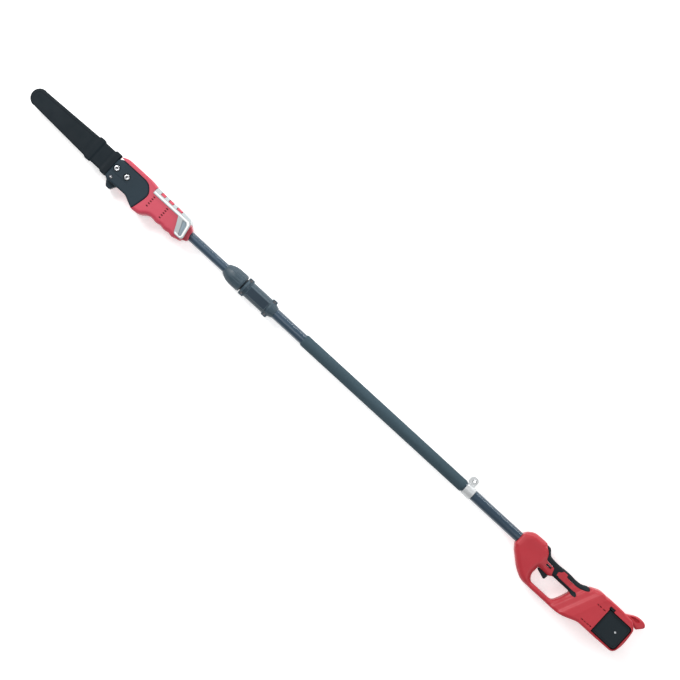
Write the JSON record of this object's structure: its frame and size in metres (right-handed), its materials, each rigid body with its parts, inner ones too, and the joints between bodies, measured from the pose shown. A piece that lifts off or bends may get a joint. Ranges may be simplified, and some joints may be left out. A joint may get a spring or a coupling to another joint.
{
  "type": "telescoping pole saw",
  "caption": "Battery chainsaw head on a two-part telescoping pole with a twist lock, strap hanger and D-shaped rear handle; the bar wears its sheath.",
  "frame": {"origin": "under the middle of the collapsed tool, on the floor it lies on", "axes": "+X along the pole from the saw to the handle's rear, +Y to the tool's top, +Z to its left side, which faces up as it lies on its right side"},
  "size_m": [2.11, 0.1358, 0.0806],
  "materials": {
    "scabbard_plastic": "matt black moulded sheath",
    "bar_steel": "ground steel guide bar",
    "chain_steel": "oiled steel",
    "charcoal_plastic": "charcoal glass-filled plastic",
    "head_red": "satin red plastic",
    "handle_red": "satin red plastic",
    "tank_plastic": "milky plastic",
    "black_plastic": "slate-black moulded plastic",
    "trim_grey": "silver-grey plastic",
    "pad_grey": "slate plastic",
    "bright_steel": "zinc-plated steel",
    "screw_steel": "blackened steel",
    "gear_steel": "hardened steel",
    "winding_copper": "motor windings and laminations",
    "tube_paint": "slate-blue coated aluminium tube",
    "sleeve_rubber": "matt slate foam grip",
    "collet_plastic": "dark moulded plastic",
    "hanger_white": "pale silver paint",
    "lead_rubber": "black coiled lead",
    "grip_rubber": "soft black overmould",
    "board_green": "circuit board",
    "battery_plastic": "dark moulded plastic"
  },
  "bodies": {
    "pole_handle": {"outer_tube": "tube_paint", "grip_sleeve": "sleeve_rubber", "coupling_left": "black_plastic", "coupling_right": "black_plastic", "coupling_screw_1": "screw_steel", "coupling_screw_2": "screw_steel", "coupling_screw_3": "screw_steel", "coupling_screw_4": "screw_steel", "lock_collet": "collet_plastic", "strap_hanger": "hanger_white", "hanger_eyelet": "bright_steel", "coiled_lead": "lead_rubber", "handle_left": "handle_red", "handle_right": "handle_red", "grip_overmould": "grip_rubber", "grip_underpad": "grip_rubber", "trigger_switch": "black_plastic", "control_board": "board_green", "battery_terminals": "black_plastic", "handle_screw_1": "screw_steel", "handle_screw_2": "screw_steel", "handle_screw_3": "screw_steel", "handle_screw_4": "screw_steel"},
    "saw_head": {"inner_tube": "tube_paint", "housing_left": "head_red", "housing_right": "head_red", "gearcase": "charcoal_plastic", "sprocket_cover": "charcoal_plastic", "bar_stud_1": "screw_steel", "bar_stud_2": "screw_steel", "bar_nut_1": "bright_steel", "bar_nut_2": "bright_steel", "guide_bar": "bar_steel", "saw_chain": "chain_steel", "oil_tank": "tank_plastic", "bumper": "trim_grey", "bumper_pad_left": "pad_grey", "bumper_pad_right": "pad_grey", "head_screw_1": "screw_steel", "head_screw_2": "screw_steel", "head_screw_3": "screw_steel", "stator": "winding_copper", "motor_bearing_1": "bright_steel", "motor_bearing_2": "bright_steel"},
    "sprocket": {"drive_sprocket": "chain_steel", "sprocket_shaft": "bright_steel", "crown_gear": "gear_steel"},
    "motor_rotor": {"rotor": "bright_steel", "pinion": "gear_steel", "cooling_fan": "black_plastic"},
    "bar_nose": {"nose_sprocket": "chain_steel"},
    "sheath": {"scabbard": "scabbard_plastic"},
    "oil_filler": {"oil_cap": "black_plastic"},
    "chain_adjuster": {"tension_screw": "bright_steel"},
    "twist_nut": {"lock_nut": "black_plastic"},
    "trigger": {"trigger": "battery_plastic"},
    "lock_off": {"lock_off_button": "battery_plastic"},
    "battery": {"battery_pack": "battery_plastic"},
    "release": {"battery_latch": "battery_plastic"}
  },
  "joints": [
    {"name": "telescope", "type": "slide", "parent": "pole_handle", "child": "saw_head", "axis": [-1, 0, 0], "range_m": [0, 0.7], "deforming": ["coiled_lead"]},
    {"name": "lock_nut_turn", "type": "hinge", "parent": "pole_handle", "child": "twist_nut", "pos_m": [-0.34304, 0.0114, 0.0403], "axis": [1, 0, 0], "range_deg": [0, 110]},
    {"name": "scabbard_pull", "type": "slide", "parent": "saw_head", "child": "sheath", "axis": [-1, 0, 0], "range_m": [0, 0.3]},
    {"name": "sprocket_spin", "type": "hinge", "parent": "saw_head", "child": "sprocket", "pos_m": [-0.69704, 0.0114, 0.0523], "axis": [0, 0, 1], "continuous": true},
    {"name": "rotor_spin", "type": "hinge", "parent": "saw_head", "child": "motor_rotor", "pos_m": [-0.61304, 0.0114, 0.0403], "axis": [1, 0, 0], "continuous": true},
    {"name": "nose_spin", "type": "hinge", "parent": "saw_head", "child": "bar_nose", "pos_m": [-1.02704, 0.0114, 0.0523], "axis": [0, 0, 1], "continuous": true},
    {"name": "oil_cap_turn", "type": "hinge", "parent": "saw_head", "child": "oil_filler", "pos_m": [-0.63904, -0.0216, 0.0063], "axis": [0, 0, -1], "range_deg": [0, 90]},
    {"name": "tension_turn", "type": "hinge", "parent": "saw_head", "child": "chain_adjuster", "pos_m": [-0.75404, -0.0151, 0.0683], "axis": [0, 0, 1], "range_deg": [-180, 180]},
    {"name": "trigger_pull", "type": "hinge", "parent": "pole_handle", "child": "trigger", "pos_m": [0.75046, -0.0026, 0.0403], "axis": [0, 0, 1], "range_deg": [0, 10], "stiffness_Nm_per_rad": 2, "springref_deg": -8.59},
    {"name": "lock_off_push", "type": "slide", "parent": "pole_handle", "child": "lock_off", "axis": [0, 0, -1], "range_m": [0, 0.003], "stiffness_N_per_m": 600, "springref_m": -0.003},
    {"name": "battery_slide", "type": "slide", "parent": "pole_handle", "child": "battery", "axis": [0, 0, 1], "range_m": [0, 0.11]},
    {"name": "release_push", "type": "slide", "parent": "pole_handle", "child": "release", "axis": [0, 0, -1], "range_m": [0, 0.004], "stiffness_N_per_m": 600, "springref_m": -0.003}
  ],
  "couplings": [
    {"joint": "rotor_spin", "follows": "sprocket_spin", "ratio": 3},
    {"joint": "nose_spin", "follows": "sprocket_spin", "ratio": 1}
  ]
}
